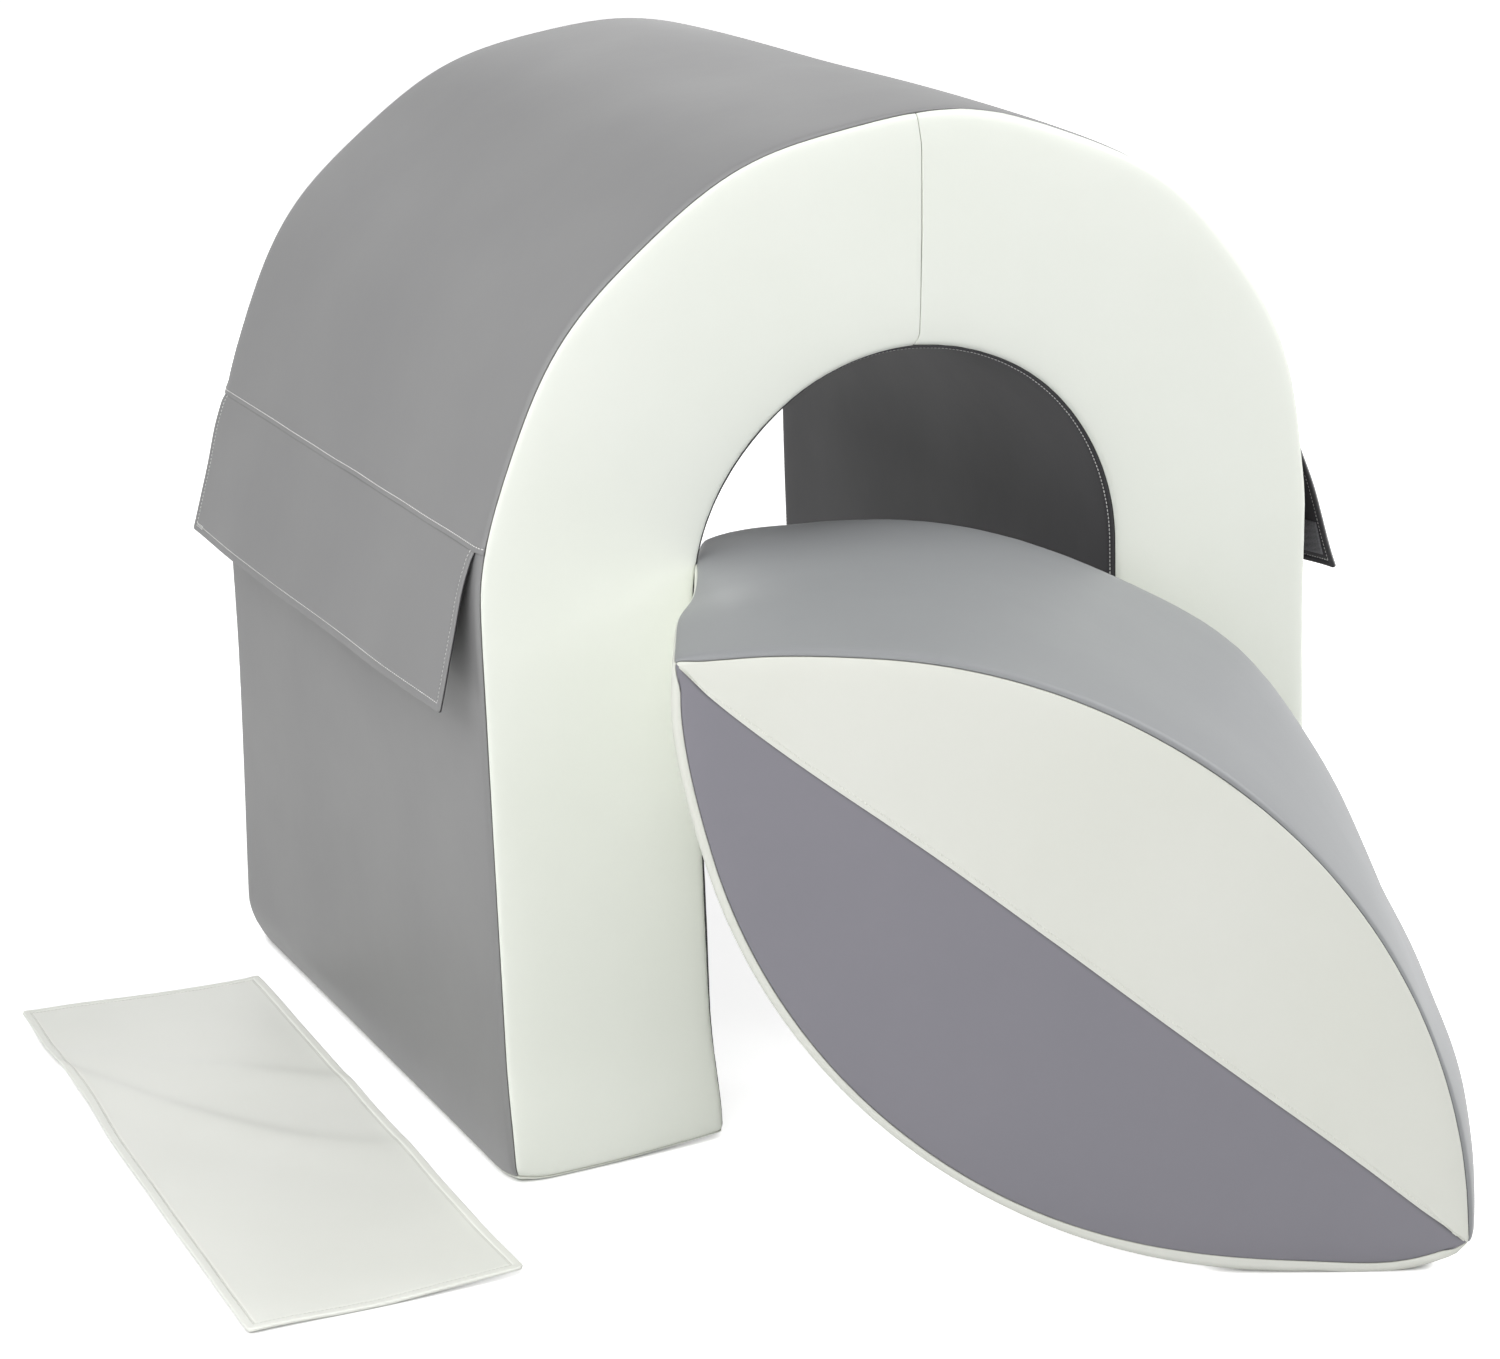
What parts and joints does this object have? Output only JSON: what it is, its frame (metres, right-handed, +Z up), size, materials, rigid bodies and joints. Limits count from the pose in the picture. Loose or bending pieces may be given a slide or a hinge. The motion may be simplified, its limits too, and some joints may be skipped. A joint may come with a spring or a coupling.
{
  "type": "foam play tunnel",
  "caption": "Foam play tunnel in a two-tone coated cover, with a flap on each side, a leaf-shaped rocker leaning in its mouth and a loose connecting panel.",
  "frame": {"origin": "on the floor, under the centre of the whole set's box", "axes": "+Z up; +Y from the tunnel's front, where the rocker leans, to its back; +X to the right seen from the front"},
  "size_m": [1.127, 1.203, 0.878],
  "materials": {
    "grey_cover": "satin",
    "cream_cover": "satin",
    "foam": "matte",
    "zip_tape": "matte",
    "hook_strip": "matte",
    "slider_metal": "satin"
  },
  "bodies": {
    "tunnel": {"foam_arch": "foam", "foam_leg_left": "foam", "foam_leg_right": "foam", "front_panel_left": "cream_cover", "front_panel_right": "cream_cover", "back_panel_left": "cream_cover", "back_panel_right": "cream_cover", "top_panel": "grey_cover", "side_panel_left": "grey_cover", "side_panel_right": "grey_cover", "inner_lining": "grey_cover", "base_left_outer": "cream_cover", "base_left_inner": "cream_cover", "base_right_outer": "cream_cover", "base_right_inner": "cream_cover", "zip_left": "zip_tape", "zip_right": "zip_tape"},
    "flap_left": {"flap_left_outer": "grey_cover", "flap_left_backing": "grey_cover", "flap_left_hook_strip": "hook_strip"},
    "flap_right": {"flap_right_outer": "grey_cover", "flap_right_backing": "grey_cover", "flap_right_hook_strip": "hook_strip"},
    "rocker": {"rocker_foam": "foam", "rocker_upper_band": "grey_cover", "rocker_lower_band": "cream_cover", "rocker_front_upper": "cream_cover", "rocker_front_lower": "grey_cover", "rocker_back_upper": "cream_cover", "rocker_back_lower": "grey_cover", "rocker_zip": "zip_tape"},
    "panel": {"panel_lower_ply": "cream_cover", "panel_upper_ply": "cream_cover"},
    "slider_left": {"zip_left_slider": "slider_metal"},
    "slider_right": {"zip_right_slider": "slider_metal"},
    "slider_rocker": {"rocker_zip_slider": "slider_metal"}
  },
  "joints": [
    {"name": "flap_left_lift", "type": "hinge", "parent": "tunnel", "child": "flap_left", "pos_m": [-0.27296, 0.26453, 0.56034], "axis": [0, 1, 0], "range_deg": [-8, 150]},
    {"name": "flap_right_lift", "type": "hinge", "parent": "tunnel", "child": "flap_right", "pos_m": [0.51328, 0.26453, 0.56034], "axis": [0, -1, 0], "range_deg": [-8, 150]},
    {"name": "rocker_rock", "type": "hinge", "parent": "tunnel", "child": "rocker", "pos_m": [0.30135, -0.35774, 0.47523], "axis": [0.4602, 0.8878, 0], "range_deg": [-93, 0]},
    {"name": "panel_lift", "type": "slide", "parent": "tunnel", "child": "panel", "axis": [0, 0, 1], "range_m": [0, 0.3]},
    {"name": "zip_left_run", "type": "slide", "parent": "tunnel", "child": "slider_left", "axis": [0, 1, 0], "range_m": [0, 0.5]},
    {"name": "zip_right_run", "type": "slide", "parent": "tunnel", "child": "slider_right", "axis": [0, 1, 0], "range_m": [0, 0.5]},
    {"name": "rocker_zip_run", "type": "slide", "parent": "rocker", "child": "slider_rocker", "axis": [-0.688, 0.3566, 0.632], "range_m": [0, 0.52]}
  ]
}
